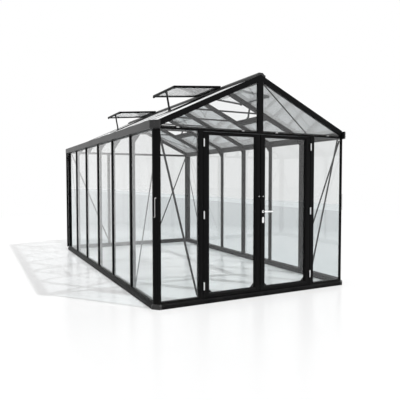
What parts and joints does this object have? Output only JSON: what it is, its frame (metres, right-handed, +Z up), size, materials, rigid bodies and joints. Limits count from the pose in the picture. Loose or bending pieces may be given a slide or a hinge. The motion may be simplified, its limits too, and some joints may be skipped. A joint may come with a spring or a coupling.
{
  "type": "greenhouse",
  "caption": "Glazed garden greenhouse with a dark metal frame, low gable roof, side gutters, open roof vents and an outward-opening double door in the front wall.",
  "frame": {"origin": "middle of the footprint at ground level", "axes": "+X to the right seen from the front, +Y from the door wall to the back wall along the ridge, +Z up"},
  "size_m": [2.584, 4.662, 2.486],
  "materials": {
    "frame_black": "satin",
    "brace_black": "satin",
    "trim_grey": "satin",
    "pane": "gloss",
    "hinge_silver": "satin",
    "bright_metal": "polished"
  },
  "bodies": {
    "house": {"back_mullions": "frame_black", "base_corner_caps": "trim_grey", "base_sills": "frame_black", "collar_ties": "brace_black", "corner_posts": "frame_black", "door_hooks": "hinge_silver", "door_posts": "frame_black", "door_threshold": "frame_black", "gable_glass": "pane", "gutter_ends": "trim_grey", "king_posts": "frame_black", "knee_gussets": "brace_black", "left_gable_rafters": "frame_black", "left_gutter": "trim_grey", "post_hinges": "hinge_silver", "rafters": "frame_black", "ridge_beam": "frame_black", "ridge_cap": "trim_grey", "right_gable_rafters": "frame_black", "right_gutter": "trim_grey", "roof_bar_caps": "frame_black", "roof_braces": "brace_black", "roof_glass": "pane", "tie_beams": "frame_black", "vent_cross_rails": "frame_black", "vent_glass": "pane", "vent_side_rails": "frame_black", "vent_sills": "frame_black", "vent_stays": "brace_black", "wall_bar_caps": "frame_black", "wall_bars": "frame_black", "wall_braces": "brace_black", "wall_glass": "pane"},
    "left_door": {"left_door_glass": "pane", "left_door_hinges": "hinge_silver", "left_door_rails": "frame_black", "left_door_stiles": "frame_black"},
    "right_door": {"right_door_glass": "pane", "right_door_hinges": "hinge_silver", "right_door_rails": "frame_black", "right_door_stiles": "frame_black", "door_cover_strip": "frame_black", "door_handle_plates": "bright_metal"},
    "door_handle": {"door_levers": "bright_metal"}
  },
  "joints": [
    {"name": "left_door_hinge", "type": "hinge", "parent": "house", "child": "left_door", "pos_m": [-0.7085, -2.297, 0.936], "axis": [0, 0, -1], "range_deg": [0, 170]},
    {"name": "right_door_hinge", "type": "hinge", "parent": "house", "child": "right_door", "pos_m": [0.7085, -2.297, 0.936], "axis": [0, 0, 1], "range_deg": [0, 170]},
    {"name": "door_handle_turn", "type": "hinge", "parent": "right_door", "child": "door_handle", "pos_m": [0.03344, -2.287, 0.95], "axis": [0, 1, 0], "range_deg": [0, 40], "stiffness_Nm_per_rad": 1, "springref_deg": -45.84}
  ]
}
